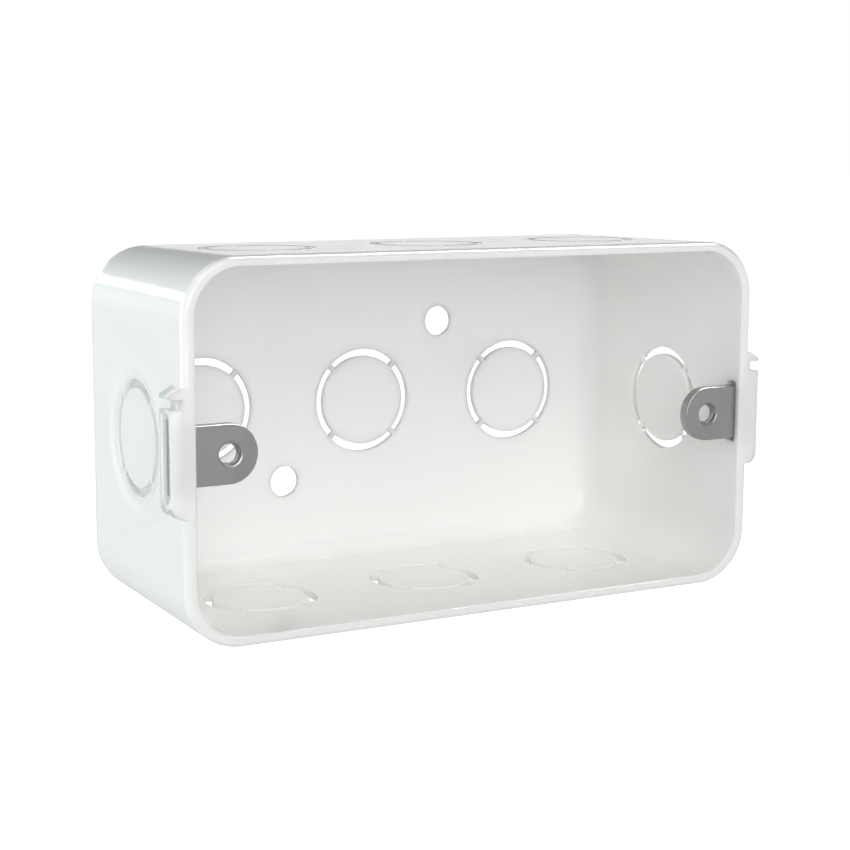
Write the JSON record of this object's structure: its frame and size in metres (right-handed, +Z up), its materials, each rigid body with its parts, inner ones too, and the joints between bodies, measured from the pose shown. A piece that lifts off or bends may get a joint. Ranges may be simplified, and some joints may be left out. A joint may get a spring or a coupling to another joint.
{
  "type": "plastic switch box",
  "caption": "Rectangular flush-mounting plastic box for light switches, open at the front, with knock-outs in every wall and steel screw lugs.",
  "frame": {"origin": "midway between the two faceplate screw holes, in the front faces of the lugs", "axes": "+X to the right along the box, +Y from the opening into the box, +Z up; the box stands on one long wall"},
  "size_m": [0.147, 0.0608, 0.08],
  "materials": {
    "white_plastic": "glossy moulded, slightly cool white",
    "zinc_steel": "grey zinc plating, satin"
  },
  "bodies": {
    "root": {"box_body": "white_plastic", "left_lug": "zinc_steel", "right_lug": "zinc_steel"}
  },
  "joints": []
}
